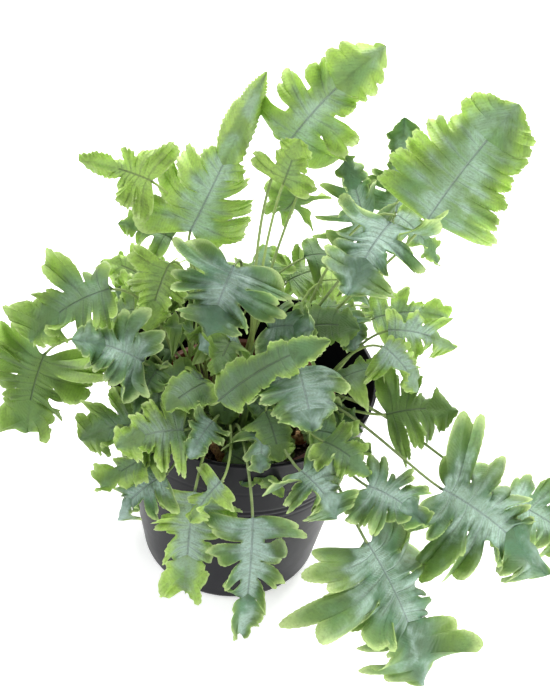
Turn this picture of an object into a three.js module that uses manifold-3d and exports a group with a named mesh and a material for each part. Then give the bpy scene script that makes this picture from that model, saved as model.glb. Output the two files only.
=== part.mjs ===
// A potted polypody fern with blue-green fronds, in a grower's pot inside a round planter.
// Millimetres, +Z up.
// The origin is the centre of the planter's underside and the front is -Y.

import * as THREE from 'three';
import { mergeVertices } from 'three/addons/utils/BufferGeometryUtils.js';
import Module from 'manifold-3d';

const wasm = await Module();
wasm.setup();

// planter
const planterHeight = 200;
const planterRimRadius = 110;
const planterBaseRadius = 77;
const planterWall = 3.6;
const planterFloor = 5;
const planterBaseFillet = 9;
const planterSides = 40;

// grower's pot that stands inside the planter
const nurseryHeight = 160;
const nurseryRimRadius = 78;
const nurseryBaseRadius = 58;
const nurseryWall = 1.6;
const nurseryLip = 4;
const nurseryLipHeight = 8;
const nurserySides = 32;
const drainHoles = 5;
const drainHoleRadius = 5;
const drainRingRadius = 38;

// potting mix and rhizomes
const mixBelowRim = 15;
const rhizomeArms = 5;
const rhizomeRadius = 6;
const rhizomeStart = 12;
const rhizomeToWall = 6.4; // from an arm's outer end to the grower's pot, once the arm's own thickness is off
const rhizomeSweep = 50; // degrees that an arm turns round the pot from its inner to its outer end

// what touches keeps this clearance
const seatGap = 0.3;

// fronds
const stipeRadius = 1.5;
const stipeSides = 5;
const stipeSteps = 6;
const stipeOverlap = 5; // length of the stipe that runs on into the blade
const bladeThickness = 0.9;
const foldedFrom = 40; // blades at least this wide to a side are folded along the line of their sinuses too

const radians = (degrees) => (degrees * Math.PI) / 180;

// heights and reaches that follow from the sizes above
const nurseryBottom = planterFloor + seatGap;
const nurseryTop = nurseryBottom + nurseryHeight;
const mixTop = nurseryTop - mixBelowRim;
const rhizomeAxis = mixTop + seatGap + rhizomeRadius;
const footHeight = rhizomeAxis + rhizomeRadius + seatGap;
const rhizomeReach = nurseryRimRadius - nurseryWall - rhizomeRadius - rhizomeToWall;

// How each kind of blade is cut. Angles are between a lobe and the midrib: first is the lowest pair, last
// the highest, and fan is how much a lobe widens. sinus is the uncut share of the half width, square is how
// blunt a lobe is and taper is how much shorter the highest pair is. crown is where the end lobe starts
// along the midrib and girth is how far it swells to either side.
const kinds = {
  broad: { first: 94, last: 48, fan: 15, sinus: 0.36, square: 3, crown: 0.56, girth: 0.26, taper: 0.28 },
  scalloped: { first: 98, last: 46, fan: 6, sinus: 0.64, square: 2.6, crown: 0.7, girth: 0.3, taper: 0.28 },
  narrow: { first: 92, last: 42, fan: 2, sinus: 0.22, square: 2, crown: 0.6, girth: 0.26, taper: 0.28 },
  star: { first: 120, last: 48, fan: 14, sinus: 0.3, square: 2.6, crown: 0.56, girth: 0.24, taper: 0.25 },
  lance: { first: 112, last: 46, fan: 12, sinus: 0.2, square: 2.6, crown: 0.48, girth: 0.17, taper: 0.5 },
};

// The habit of the plant, one row for each frond. arm and share say which rhizome it grows from and how far
// along it. neck (where the blade starts) and tip are each a turn in degrees from +X, a distance out from
// the planter's rim and a height over it. across is the turn of the blade's right-hand side, roll tips it
// about the midrib, bow arches the midrib, rise is how straight up the stipe starts and half is the blade's
// half width.
const habit = [
  // name          arm share  neck             tip              across roll  bow  rise half pairs kind
  ['top_left',      2, 0.12, [145, -44, 103], [95, -53, 241],      0,    0, 0.08,  60, 64, 4, 'lance'],
  ['back_left',     1, 0.80, [150, -12, 140], [155, 53, 139],     82,   45, 0.10,  60, 38, 4, 'lance'],
  ['top_centre',    1, 0.18, [74, -58, 184],  [42, -3, 264],     320,  -30, 0.15,  90, 60, 3, 'star'],
  ['under_top',     1, 0.05, [50, -86, 170],  [49, -73, 205],      0,    0, 0.10,  80, 32, 2, 'broad'],
  ['behind_top',    1, 0.30, [72, -16, 122],  [86, 22, 78],      180,    0, 0.35, 110, 34, 3, 'narrow'],
  ['high_right',    0, 0.55, [9, 17, 150],    [19, 83, 234],    320,  -25, 0.10,  80, 62, 5, 'scalloped'],
  ['strap',         0, 0.85, [32, -9, 106],   [46, -24, 175],     40,   10, 0.10,  50, 48, 3, 'narrow'],
  ['strap_back',    0, 0.95, [40, 33, 106],   [47, 44, 185],     10,    0, 0.10,  60, 46, 3, 'narrow'],
  ['butterfly',     0, 0.20, [3, -11, 157],   [328, -26, 122],  151,    0, 0.25,  80, 56, 3, 'star'],
  ['small_hang',    0, 0.45, [22, 2, 140],    [12, 36, 104],     253,  -20, 0.20,  60, 28, 2, 'broad'],
  ['right_a',       0, 0.75, [19, -5, 41],    [17, 61, 38],     283,  -35, 0.20,  40, 34, 3, 'narrow'],
  ['right_b',       4, 1.00, [0, -2, 58],     [2, 57, 42],      275,  -30, 0.20,  40, 36, 3, 'narrow'],
  ['right_c',       4, 0.90, [344, -2, 67],   [341, 35, 38],    243,  -20, 0.20,  40, 34, 2, 'broad'],
  ['right_d',       0, 0.34, [2, -36, 66],    [348, -22, 48],    203,  -10, 0.25,  40, 30, 2, 'broad'],
  ['star',          3, 0.06, [256, -58, 143], [252, -24, 99],    172,    0, 0.20,  60, 62, 3, 'star'],
  ['blue_small',    4, 0.03, [292, -66, 80],  [312, -35, 96],    248,  -35, 0.15,  50, 36, 2, 'broad'],
  ['left_high',     1, 1.00, [141, -23, 83],  [152, 20, 89],     82,   35, 0.15,  50, 28, 2, 'narrow'],
  ['left_yellow',   2, 0.38, [172, -44, 94],  [198, -30, 50],    158,   20, 0.20,  50, 34, 3, 'broad'],
  ['left_back_a',   2, 0.46, [140, 7, 22],    [145, 57, 22],     68,   35, 0.20,  50, 36, 3, 'broad'],
  ['left_back_b',   2, 0.56, [155, -9, 18],   [160, 36, -24],     75,   35, 0.20,  50, 34, 3, 'narrow'],
  ['left',          2, 0.76, [186, -3, 79],   [190, 62, 30],    104,   25, 0.20,  50, 52, 3, 'broad'],
  ['far_left',      2, 0.86, [180, 54, -4],   [188, 68, -75],    159,   15, 0.20,  90, 66, 4, 'star'],
  ['over_rim',      2, 0.97, [219, -14, 50],  [209, 35, 73],    101,   35, 0.15,  40, 42, 3, 'star'],
  ['dark_inner',    2, 0.66, [165, -51, -2],  [170, -12, -3],     83,   30, 0.20,  30, 34, 3, 'narrow'],
  ['pale_inner',    3, 0.26, [238, -55, 27],  [235, -15, 43],    136,   10, 0.20,  20, 24, 2, 'narrow'],
  ['serrated',      3, 0.18, [262, -6, 57],   [307, -7, 109],    282,  -35, 0.15,  58, 23, 4, 'scalloped'],
  ['serrated_low',  3, 0.72, [250, -34, 46],  [243, 4, 42],      143,   10, 0.15,  40, 28, 2, 'scalloped'],
  ['centre_right',  4, 0.28, [296, -18, 82],  [294, 27, 59],     200,    0, 0.20,  50, 43, 3, 'scalloped'],
  ['front_star',    4, 0.20, [292, 25, 20],   [298, 64, 2],      228,    0, 0.25,  60, 42, 3, 'star'],
  ['front_left_a',  3, 0.79, [250, -2, 24],   [234, 36, 14],     112,   20, 0.20,  60, 38, 3, 'broad'],
  ['front_left_b',  3, 0.64, [248, 16, -8],   [238, 46, -50],    112,   20, 0.20,  95, 36, 3, 'narrow'],
  ['front_left_c',  3, 0.86, [259, 20, -10],  [260, 40, -110],   175,    0, 0.15, 100, 44, 3, 'broad'],
  ['front_hang',    3, 1.00, [278, 36, -12],  [277, 66, -117],   195,    0, 0.15, 100, 42, 4, 'narrow'],
  ['front_big',     4, 0.45, [305, 73, -20],  [309, 150, -118],  234,    0, 0.15, 110, 88, 4, 'star'],
  ['right_big',     4, 0.60, [329, 77, -12],  [333, 172, -64],   248,  -15, 0.15, 110, 70, 4, 'star'],
  ['far_right',     4, 0.81, [345, 120, -56], [344, 187, -77],  253,  -15, 0.15, 125, 50, 3, 'broad'],
  ['dark_rib',      4, 0.74, [336, 14, 14],   [345, 67, 23],     279,  -30, 0.15,  60, 44, 3, 'broad'],
  ['low_left_a',    3, 0.34, [234, -5, 12],   [218, 40, -8],      95,   25, 0.15,  50, 42, 3, 'broad'],
  ['low_left_b',    3, 0.50, [244, 6, 4],     [231, 48, -30],    108,   15, 0.15,  70, 34, 3, 'narrow'],
  ['green_stipe',   3, 0.90, [268, 21, 6],    [260, 38, -28],    129,    0, 0.15,  80, 26, 2, 'narrow'],
  ['small_right',   4, 0.36, [302, 13, 31],   [309, 52, 22],     238,  -20, 0.20,  50, 30, 2, 'broad'],
  ['blue_right',    4, 0.54, [309, 50, 10],   [316, 94, -6],    251,  -20, 0.20,  80, 44, 3, 'star'],
  ['inner_dark',    4, 0.12, [284, -54, -1],  [296, -18, -15],   218,    0, 0.20,  40, 34, 3, 'broad'],
  ['small_upright', 3, 0.12, [224, -50, -2],  [220, -36, 26],    132,    0, 0.10,  30, 20, 2, 'broad'],
  ['back_a',        1, 0.45, [75, 30, 5],     [75, 80, -80],    345,    0, 0.15,  80, 50, 3, 'broad'],
  ['back_b',        1, 0.60, [103, 30, 5],    [103, 80, -75],    13,    0, 0.15,  80, 52, 3, 'broad'],
  ['back_c',        1, 0.92, [130, 35, 0],    [130, 80, -70],    40,    0, 0.15,  80, 46, 3, 'broad'],
  ['back_d',        0, 1.03, [46, 35, 0],     [46, 85, -70],    316,    0, 0.15,  80, 48, 3, 'narrow'],
];

// young fronds that are still rolled up: arm, share, height of the coil and its radius
const crosierStemRadius = 1.3;
const crosiers = [
  [2, 0.28, 40, 6],
  [0, 0.06, 26, 5],
];

const plastic = new THREE.MeshStandardMaterial({ color: 0x34363c, roughness: 0.4, metalness: 0 });
const terracottaPlastic = new THREE.MeshStandardMaterial({ color: 0x6f3426, roughness: 0.55, metalness: 0 });
const soil = new THREE.MeshStandardMaterial({ color: 0x2b211b, roughness: 1, metalness: 0 });
const rhizomeSkin = new THREE.MeshStandardMaterial({ color: 0x8a5a2b, roughness: 0.9, metalness: 0 });
const leaf = new THREE.MeshStandardMaterial({ color: 0x6f9c7c, roughness: 0.6, metalness: 0 });
const youngLeaf = new THREE.MeshStandardMaterial({ color: 0x9dbb63, roughness: 0.6, metalness: 0 });

const plant = new THREE.Group();

function addMesh(name, geometry, material) {
  const mesh = new THREE.Mesh(geometry, material);
  mesh.name = name;
  plant.add(mesh);
}

// --- solids ---

function toSolid(geometry) {
  const bare = geometry.clone();
  bare.deleteAttribute('normal');
  bare.deleteAttribute('uv');
  const merged = mergeVertices(bare, 1e-3);
  return new wasm.Manifold(
    new wasm.Mesh({
      numProp: 3,
      vertProperties: Float32Array.from(merged.attributes.position.array),
      triVerts: Uint32Array.from(merged.index.array),
    }),
  );
}

function toGeometry(solid) {
  const { vertProperties, triVerts } = solid.getMesh();
  const geometry = new THREE.BufferGeometry();
  geometry.setAttribute('position', new THREE.BufferAttribute(vertProperties, 3));
  geometry.setIndex(new THREE.BufferAttribute(triVerts, 1));
  return geometry;
}

// LatheGeometry turns round Y, so the result is stood up to turn round Z.
function lathe(profile, sides) {
  const points = profile.map(([radius, height]) => new THREE.Vector2(radius, height));
  return new THREE.LatheGeometry(points, sides).rotateX(Math.PI / 2);
}

// A closed tube: rings of points square to the curve, which never twist, and a cap at each end.
function tube(curve, radius, sides, steps) {
  const section = new THREE.Shape();
  for (let i = 0; i < sides; i++) {
    const angle = (2 * Math.PI * i) / sides;
    section[i === 0 ? 'moveTo' : 'lineTo'](radius * Math.cos(angle), radius * Math.sin(angle));
  }
  return new THREE.ExtrudeGeometry(section, { steps, bevelEnabled: false, extrudePath: curve });
}

// --- pots and potting mix ---

function wallRadius(baseRadius, rimRadius, height, z) {
  return baseRadius + ((rimRadius - baseRadius) * z) / height;
}

function makePlanter() {
  const outer = (z) => wallRadius(planterBaseRadius, planterRimRadius, planterHeight, z);
  const profile = [[0, 0], [outer(0) - planterBaseFillet, 0]];
  for (let i = 1; i <= 3; i++) {
    const angle = (i * Math.PI) / 6;
    profile.push([
      outer(planterBaseFillet) - planterBaseFillet * (1 - Math.sin(angle)),
      planterBaseFillet * (1 - Math.cos(angle)),
    ]);
  }
  profile.push(
    [planterRimRadius, planterHeight - 1],
    [planterRimRadius - 1, planterHeight],
    [planterRimRadius - planterWall, planterHeight],
    [outer(planterFloor + planterBaseFillet) - planterWall, planterFloor + planterBaseFillet],
    [outer(planterFloor) - planterWall - planterBaseFillet / 2, planterFloor],
    [0, planterFloor],
  );
  addMesh('planter', lathe(profile, planterSides), plastic);
}

function nurseryOuter(z) {
  return wallRadius(nurseryBaseRadius, nurseryRimRadius, nurseryHeight, z - nurseryBottom);
}

function makeNurseryPot() {
  const lipBottom = nurseryTop - nurseryLipHeight;
  const profile = [
    [0, nurseryBottom],
    [nurseryBaseRadius, nurseryBottom],
    [nurseryOuter(lipBottom), lipBottom],
    [nurseryRimRadius + nurseryLip, lipBottom],
    [nurseryRimRadius + nurseryLip, nurseryTop],
    [nurseryRimRadius - nurseryWall, nurseryTop],
    [nurseryBaseRadius - nurseryWall, nurseryBottom + nurseryWall],
    [0, nurseryBottom + nurseryWall],
  ];
  let pot = toSolid(lathe(profile, nurserySides));
  for (let i = 0; i < drainHoles; i++) {
    const hole = new THREE.CylinderGeometry(drainHoleRadius, drainHoleRadius, 4 * nurseryWall, 10);
    hole.rotateX(Math.PI / 2);
    const turn = (2 * Math.PI * i) / drainHoles;
    hole.translate(drainRingRadius * Math.cos(turn), drainRingRadius * Math.sin(turn), nurseryBottom);
    pot = pot.subtract(toSolid(hole));
  }
  addMesh('nursery_pot', toGeometry(pot), terracottaPlastic);
}

function makePottingMix() {
  const bottom = nurseryBottom + nurseryWall + seatGap;
  // the pot is a polygon in plan, so the gap is measured at the middle of its flat sides
  const inner = (z) => (nurseryOuter(z) - nurseryWall) * Math.cos(Math.PI / nurserySides) - 2 * seatGap;
  const profile = [
    [0, bottom],
    [inner(bottom) - 1, bottom],
    [inner(mixTop - 6), mixTop - 6],
    [inner(mixTop) - 5, mixTop],
    [0, mixTop],
  ];
  addMesh('potting_mix', lathe(profile, nurserySides), soil);
}

// --- rhizomes ---

// A point over an arm's axis, share of the way along it. An arm is a spiral that lies on the potting mix.
function alongArm(arm, share, height) {
  const turn = radians((360 * arm) / rhizomeArms + rhizomeSweep * share);
  const reach = rhizomeStart + (rhizomeReach - rhizomeStart) * share;
  return new THREE.Vector3(reach * Math.cos(turn), reach * Math.sin(turn), height);
}

function makeRhizomes() {
  for (let arm = 0; arm < rhizomeArms; arm++) {
    const shares = [-0.04, 0.25, 0.5, 0.75, 1.04];
    const axis = new THREE.CatmullRomCurve3(shares.map((share) => alongArm(arm, share, rhizomeAxis)));
    addMesh(`rhizome_${arm + 1}`, tube(axis, rhizomeRadius, 8, 5), rhizomeSkin);
  }
}

// --- fronds ---

function overRim([turn, out, up]) {
  const reach = planterRimRadius + out;
  return new THREE.Vector3(
    reach * Math.cos(radians(turn)),
    reach * Math.sin(radians(turn)),
    planterHeight + up,
  );
}

// A repeatable number from 0 to 1 for lobe i of frond j.
function chance(i, j) {
  const value = Math.sin(i * 12.9898 + j * 78.233) * 43758.5453;
  return value - Math.floor(value);
}

// The blade before it is bent: a flat outline in rays. Ray u runs from the midrib, at share `along`, to the
// line of the sinuses (inner) and on to the margin (outer). Lobe k takes the rays from k to k + 1, and the
// end lobe, or crown, takes the last ones. Points are [along the midrib, across it].
function flatRay(u, length, half, pairs, kind, frond, side) {
  const lobe = Math.min(Math.floor(u), pairs);
  const part = u - lobe;
  const sinus = half * kind.sinus * Math.min(1, u / 0.4);
  if (lobe === pairs) {
    const along = kind.crown + (1 - kind.crown) * part;
    const lean = (sinus * (1 - part)) / Math.SQRT2;
    const swell = half * kind.girth * Math.sin(Math.PI * part ** 0.8) * (1 - 0.25 * part);
    const inner = [along * length + lean, lean];
    const outer = [inner[0], lean + swell];
    return { along, lobe, part, inner, outer };
  }
  const along = 0.02 + ((kind.crown - 0.02) * u) / pairs;
  const upward = lobe / (pairs - 1);
  const luck = (i) => chance(lobe + i + 10 * (side + 2), frond);
  const middle = kind.first + (kind.last - kind.first) * upward + 8 * (luck(0) - 0.5);
  const angle = radians(middle + kind.fan * (0.5 - part));
  const lean = radians(75 - (30 * u) / pairs);
  const filled = Math.abs(2 * part - 1);
  const size = 0.8 + 0.2 * Math.sin(Math.PI * (0.3 + 0.6 * upward)) - kind.taper * upward - 0.2 * luck(5);
  const reach = Math.max(0, half * (size - kind.sinus)) * (1 - filled ** kind.square) ** 0.65;
  const inner = [along * length + sinus * Math.cos(lean), sinus * Math.sin(lean)];
  const outer = [inner[0] + reach * Math.cos(angle), inner[1] + reach * Math.sin(angle)];
  return { along, lobe, part, inner, outer };
}

function makeFrond([name, arm, share, neck, tip, across, roll, bow, rise, half, pairs, kindName], number) {
  const kind = kinds[kindName];
  const foot = alongArm(arm, share, footHeight);
  const start = overRim(neck);
  const end = overRim(tip);
  const chord = end.clone().sub(start);
  const sideHint = new THREE.Vector3(Math.cos(radians(across)), Math.sin(radians(across)), 0);
  const bowed = new THREE.Vector3().crossVectors(sideHint, chord).normalize();
  const middle = start.clone().add(end).multiplyScalar(0.5).addScaledVector(bowed, bow * chord.length());
  const midrib = new THREE.QuadraticBezierCurve3(start, middle, end);
  const length = midrib.getLength();

  // where a point of the flat outline goes: along the bent midrib, across it, and off it by the lobe's curl
  const place = (x, y, lift) => {
    const t = THREE.MathUtils.clamp(x / length, 0, 1);
    const forward = midrib.getTangentAt(t);
    const right = sideHint.clone().addScaledVector(forward, -sideHint.dot(forward)).normalize();
    const up = new THREE.Vector3().crossVectors(right, forward);
    const turned = right.clone().applyAxisAngle(forward, -radians(roll));
    const raised = up.clone().applyAxisAngle(forward, -radians(roll));
    return midrib.getPointAt(t)
      .addScaledVector(forward, x - t * length)
      .addScaledVector(turned, y)
      .addScaledVector(raised, lift);
  };

  // each lobe has a ray at either shoulder and one at the sinus past it, and the crown has two
  const rays = [];
  for (let k = 0; k < pairs; k++) rays.push(k + 0.2, k + 0.8, k + 1);
  rays.push(pairs + 0.35, pairs + 0.7);

  // lift of a point: the blade droops to each side, and each lobe curls and twists a little by itself
  const liftOf = (ray, y, outward, side) => {
    const curl = 0.35 * (chance(ray.lobe + 3 + 20 * (side + 2), number) - 0.6);
    const twist = 0.5 * (chance(ray.lobe + 7 + 20 * (side + 2), number) - 0.5);
    const free = outward * outward * half;
    return -0.18 * half * (y / half) ** 2 + free * (curl + twist * (ray.part - 0.5));
  };

  const points = [];
  const faces = [];
  const addPoint = (x, y, lift) => {
    points.push(place(x, y, lift + bladeThickness / 2), place(x, y, lift - bladeThickness / 2));
    return points.length - 2;
  };
  // both skins of a four-cornered patch; right-hand patches are wound the other way
  const addPatch = (corners, side) => {
    const [a, b, c, d] = side > 0 ? corners : [...corners].reverse();
    for (const [i, j, k] of [[a, b, c], [a, c, d]]) {
      if (i === j || j === k || i === k) continue;
      faces.push([i, j, k], [k + 1, j + 1, i + 1]);
    }
  };
  const addEdge = (i, j, side) => {
    const [a, b] = side > 0 ? [i, j] : [j, i];
    faces.push([a, a + 1, b + 1], [a, b + 1, b]);
  };

  const base = addPoint(0, 0, 0);
  const apex = addPoint(length, 0, 0);
  const rayAt = (u, side) => flatRay(u, length, half, pairs, kind, number, side);
  const ribs = rays.map((u) => addPoint(rayAt(u, 1).along * length, 0, 0));
  const isFolded = half >= foldedFrom;
  for (const side of [-1, 1]) {
    let last = { rib: base, inner: base, outer: base };
    rays.forEach((u, i) => {
      const ray = rayAt(u, side);
      const isSinus = ray.part === 0;
      const [x, y] = isSinus ? ray.inner : ray.outer;
      const outer = addPoint(x, side * y, liftOf(ray, y, isSinus ? 0 : 1, side));
      const [innerX, innerY] = ray.inner;
      const hasInner = isFolded && !isSinus;
      const inner = hasInner ? addPoint(innerX, side * innerY, liftOf(ray, innerY, 0, side)) : outer;
      addPatch([last.rib, last.inner, inner, ribs[i]], side);
      addPatch([last.inner, last.outer, outer, inner], side);
      addEdge(last.outer, outer, side);
      last = { rib: ribs[i], inner, outer };
    });
    addPatch([last.rib, last.inner, apex, apex], side);
    addPatch([last.inner, last.outer, apex, apex], side);
    addEdge(last.outer, apex, side);
  }

  const blade = new THREE.BufferGeometry();
  blade.setAttribute('position', new THREE.Float32BufferAttribute(points.flatMap((p) => p.toArray()), 3));
  blade.setIndex(faces.flat());

  const stem = start.clone().addScaledVector(midrib.getTangentAt(0), stipeOverlap);
  const reach = foot.distanceTo(stem);
  const stipeCurve = new THREE.CubicBezierCurve3(
    foot,
    foot.clone().add(new THREE.Vector3(0, 0, rise)),
    stem.clone().addScaledVector(midrib.getTangentAt(0), -0.25 * reach),
    stem,
  );
  const stipe = toSolid(tube(stipeCurve, stipeRadius, stipeSides, stipeSteps));
  addMesh(`frond_${name}`, toGeometry(stipe.add(toSolid(blade))), leaf);
}

// --- crosiers ---

// A stem that rises and rolls in on itself in one and a bit turns.
function makeCrosier([arm, share, height, coil], number) {
  const foot = alongArm(arm, share, footHeight);
  const turn = radians((360 * arm) / rhizomeArms + 90);
  const points = [foot, foot.clone().add(new THREE.Vector3(0, 0, height / 2))];
  for (let i = 0; i <= 9; i++) {
    const angle = (i * Math.PI) / 4;
    const radius = coil * (1 - 0.06 * i);
    const offset = coil - radius * Math.cos(angle);
    points.push(
      new THREE.Vector3(
        foot.x + offset * Math.cos(turn),
        foot.y + offset * Math.sin(turn),
        foot.z + height + radius * Math.sin(angle),
      ),
    );
  }
  const curve = new THREE.CatmullRomCurve3(points);
  addMesh(`crosier_${number + 1}`, tube(curve, crosierStemRadius, 6, 16), youngLeaf);
}

makePlanter();
makeNurseryPot();
makePottingMix();
makeRhizomes();
habit.forEach(makeFrond);
crosiers.forEach(makeCrosier);

export default plant;
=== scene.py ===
import bpy
import numpy as np
from mathutils import Matrix, Vector


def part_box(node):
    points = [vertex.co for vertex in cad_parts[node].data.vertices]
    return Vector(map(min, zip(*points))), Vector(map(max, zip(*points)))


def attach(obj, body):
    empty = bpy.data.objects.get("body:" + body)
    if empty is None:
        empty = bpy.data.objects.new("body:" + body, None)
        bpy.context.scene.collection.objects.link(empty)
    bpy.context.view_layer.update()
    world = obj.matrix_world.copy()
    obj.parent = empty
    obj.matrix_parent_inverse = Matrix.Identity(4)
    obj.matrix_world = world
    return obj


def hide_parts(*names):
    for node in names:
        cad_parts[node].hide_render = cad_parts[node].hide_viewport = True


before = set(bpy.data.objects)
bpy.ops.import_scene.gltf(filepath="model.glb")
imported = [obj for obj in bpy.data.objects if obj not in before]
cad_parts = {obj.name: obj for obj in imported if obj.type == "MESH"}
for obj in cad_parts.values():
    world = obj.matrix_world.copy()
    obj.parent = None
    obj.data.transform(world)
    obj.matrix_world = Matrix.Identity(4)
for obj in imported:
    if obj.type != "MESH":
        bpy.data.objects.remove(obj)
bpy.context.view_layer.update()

scene = bpy.context.scene
scene.view_settings.view_transform = "Standard"

potLow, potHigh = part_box("planter")
innerLow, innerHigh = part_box("nursery_pot")
mixLow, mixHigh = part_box("potting_mix")
mm = 0.001


camera = {
    "distance": 1.0,
    "elevation": 40,      # degrees that it looks down
    "roll": 6.3,
    "lookAt": (0.0227, 0, 0.2308),
    "focal": 1245,        # in the same measure as the frame's sides
    "frameSize": (550, 689),
    "sensor": 36,
}


def placeCamera():
    down = np.radians(camera["elevation"])
    roll = np.radians(camera["roll"])
    ahead = Vector((0, np.cos(down), -np.sin(down)))
    level = Vector((1, 0, 0))
    over = level.cross(ahead)
    right = np.cos(roll) * level + np.sin(roll) * over
    up = -np.sin(roll) * level + np.cos(roll) * over
    data = bpy.data.cameras.new("camera")
    data.sensor_width = camera["sensor"]
    data.lens = camera["focal"] * camera["sensor"] / max(camera["frameSize"])
    data.clip_start = 0.01
    data.clip_end = 50
    eye = bpy.data.objects.new("camera", data)
    turn = Matrix((right, up, -ahead)).transposed().to_4x4()
    turn.translation = Vector(camera["lookAt"]) - camera["distance"] * ahead
    eye.matrix_world = turn
    scene.collection.objects.link(eye)
    scene.camera = eye


placeCamera()

# softboxes: where each hangs, its two sides, its power in watts and its colour
softboxes = {
    "back_light": {"at": (0.25, 1.1, 1.5), "size": (1.4, 1.1), "power": 58, "colour": (1, 1, 0.97)},
    "left_light": {"at": (-1.2, -0.5, 1.3), "size": (0.9, 1.1), "power": 13, "colour": (0.96, 0.98, 1)},
    "right_light": {"at": (0.6, -0.62, 0.24), "size": (0.32, 0.36), "power": 4.5, "colour": (1, 0.99, 0.98)},
}
skyStrength = 0.5
floorSide = 12


def hangLights():
    world = bpy.data.worlds.new("studio")
    world.use_nodes = True
    sky = world.node_tree.nodes["Background"]
    sky.inputs["Color"].default_value = (1, 1, 1, 1)
    sky.inputs["Strength"].default_value = skyStrength
    scene.world = world
    target = Vector((0, 0, 0.2))
    for name, box in softboxes.items():
        data = bpy.data.lights.new(name, "AREA")
        data.shape = "RECTANGLE"
        data.size, data.size_y = box["size"]
        data.energy = box["power"]
        data.color = box["colour"]
        light = bpy.data.objects.new(name, data)
        light.location = box["at"]
        light.rotation_euler = (target - light.location).to_track_quat("-Z", "Y").to_euler()
        scene.collection.objects.link(light)


hangLights()
print("camera and lights are up")


def unit(vectors):
    return vectors / np.maximum(np.linalg.norm(vectors, axis=-1, keepdims=True), 1e-12)


def chance(i, j):
    # a repeatable number from 0 to 1 for lobe i of frond j
    value = np.sin(i * 12.9898 + j * 78.233) * 43758.5453
    return value - np.floor(value)


def smooth(low, high, x):
    # 0 under low, 1 over high, and an S curve between
    t = np.clip((x - low) / (high - low), 0, 1)
    return t * t * (3 - 2 * t)


class Mesh:
    # gathers closed shells, each with its material number and its point attributes
    def __init__(self):
        self.points, self.faces, self.slots, self.fields = [], [], [], {}
        self.count = 0

    def add(self, points, faces, slot=0, **fields):
        # faces are lists of quads or triangles; a shell that is inside out is turned round
        first = faces[0]
        a, b, c = (points[first[:, k]] for k in range(3))
        volume = np.einsum("ij,ij->", a, np.cross(b, c))
        if first.shape[1] == 4:
            volume += np.einsum("ij,ij->", a, np.cross(c, points[first[:, 3]]))
        for part in faces:
            self.faces.append((part[:, ::-1] if volume < 0 else part) + self.count)
            self.slots.append(np.full(len(part), slot))
        self.points.append(points)
        for name, values in fields.items():
            self.fields.setdefault(name, []).append((self.count, np.broadcast_to(values, (len(points), 3))))
        self.count += len(points)

    def build(self, name, materials, slot, *nodes, sharp=50):
        data = bpy.data.meshes.new(name)
        points = np.concatenate(self.points)
        sides = np.concatenate([np.full(len(f), f.shape[1]) for f in self.faces])
        corners = np.concatenate([f.ravel() for f in self.faces])
        data.vertices.add(len(points))
        data.vertices.foreach_set("co", points.astype(np.float32).ravel())
        data.loops.add(len(corners))
        data.loops.foreach_set("vertex_index", corners.astype(np.int32))
        data.polygons.add(len(sides))
        data.polygons.foreach_set("loop_start", np.concatenate([[0], np.cumsum(sides)[:-1]]).astype(np.int32))
        data.polygons.foreach_set("loop_total", sides.astype(np.int32))
        data.polygons.foreach_set("material_index", np.concatenate(self.slots).astype(np.int32))
        for field, parts in self.fields.items():
            values = np.zeros((len(points), 3), np.float32)
            for start, part in parts:
                values[start:start + len(part)] = part
            layer = data.attributes.new(field, "FLOAT_VECTOR", "POINT")
            layer.data.foreach_set("vector", values.ravel())
        for material in materials:
            data.materials.append(material)
        data.update(calc_edges=True)
        data.validate()
        data.polygons.foreach_set("use_smooth", np.ones(len(data.polygons), bool))
        data.set_sharp_from_angle(angle=np.radians(sharp))
        piece = bpy.data.objects.new(name, data)
        scene.collection.objects.link(piece)
        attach(piece, "root")
        if nodes:
            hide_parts(*nodes)
        return piece


def sleeve(rings, start, end):
    # rings is rows x points x 3: neighbouring rings are joined by quads, and a fan closes each end at a pole
    rows, around = rings.shape[:2]
    points = np.concatenate([rings.reshape(-1, 3), [start, end]])
    i = np.arange(rows - 1)[:, None] * around
    j = np.arange(around)[None, :]
    k = (j + 1) % around
    quads = np.stack([i + j, i + around + j, i + around + k, i + k], -1).reshape(-1, 4)
    j, k = j[0], k[0]
    last = (rows - 1) * around
    pole = rows * around
    near = np.stack([np.full(around, pole), j, k], -1)
    far = np.stack([np.full(around, pole + 1), last + k, last + j], -1)
    return points, [quads, near, far]


def curveAt(controls, t):
    # a Bezier curve: three or four control points, each weighted by its Bernstein polynomial; and its direction
    c = [np.asarray(p, float) for p in controls]
    t = np.asarray(t, float)[:, None]
    if len(c) == 3:
        at = (1 - t) ** 2 * c[0] + 2 * t * (1 - t) * c[1] + t ** 2 * c[2]
        way = (1 - t) * (c[1] - c[0]) + t * (c[2] - c[1])
    else:
        at = (1 - t) ** 3 * c[0] + 3 * t * (1 - t) ** 2 * c[1] + 3 * t ** 2 * (1 - t) * c[2] + t ** 3 * c[3]
        way = (1 - t) ** 2 * (c[1] - c[0]) + 2 * t * (1 - t) * (c[2] - c[1]) + t ** 2 * (c[3] - c[2])
    return at, unit(way)


class Path:
    # a curve whose points are asked for by their share of its length
    def __init__(self, controls):
        t = np.linspace(0, 1, 201)
        self.at, self.way = curveAt(controls, t)
        steps = np.linalg.norm(np.diff(self.at, axis=0), axis=1)
        walked = np.concatenate([[0], np.cumsum(steps)])
        self.length = walked[-1]
        self.walked = walked / walked[-1]

    def point(self, share):
        return np.stack([np.interp(share, self.walked, self.at[:, k]) for k in range(3)], -1)

    def direction(self, share):
        return unit(np.stack([np.interp(share, self.walked, self.way[:, k]) for k in range(3)], -1))


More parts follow.
